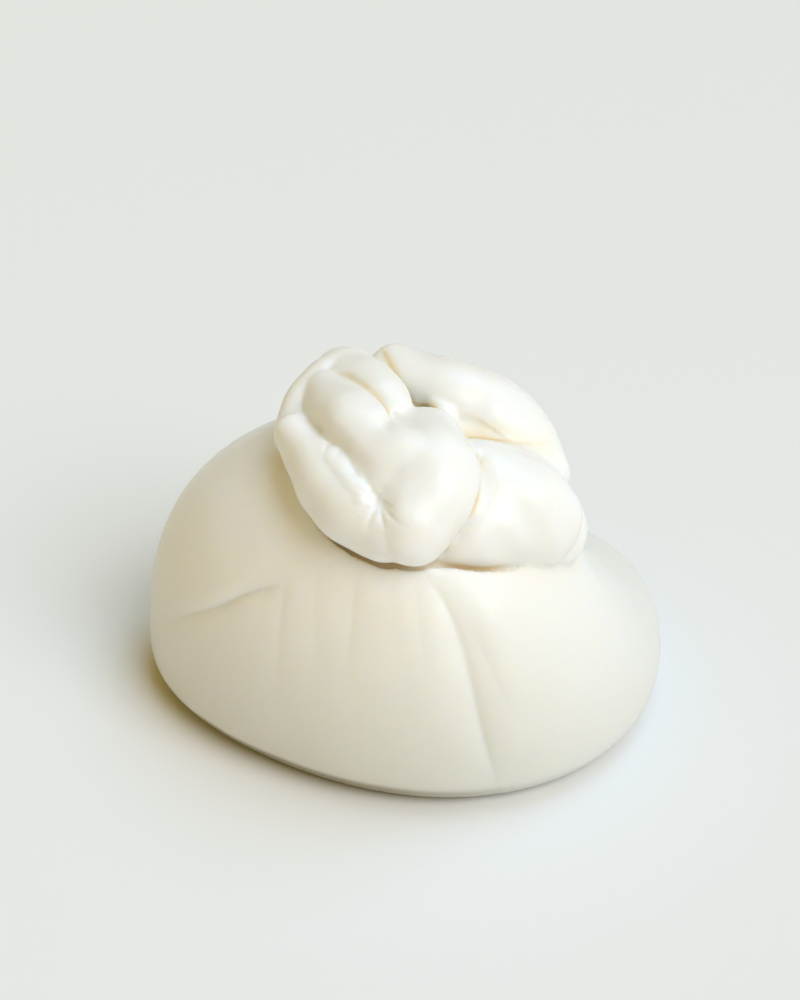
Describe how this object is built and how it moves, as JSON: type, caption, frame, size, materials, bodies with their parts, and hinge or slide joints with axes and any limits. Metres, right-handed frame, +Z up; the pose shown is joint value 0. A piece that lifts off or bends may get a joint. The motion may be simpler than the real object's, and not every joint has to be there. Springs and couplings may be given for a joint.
{
  "type": "burrata",
  "caption": "Ball of fresh stretched-curd cheese, a soft filled pouch whose neck is gathered and folded over into a plump knot on top.",
  "frame": {"origin": "centre of the bounding box in X and Y, on the table under the cheese", "axes": "+Z up, +X along the long way of the pouch, -Y towards the front, where the knot lolls over"},
  "size_m": [0.09, 0.0808, 0.0627],
  "materials": {
    "burrata": "moist satin, cream white"
  },
  "bodies": {
    "root": {"burrata": "burrata"}
  },
  "joints": []
}
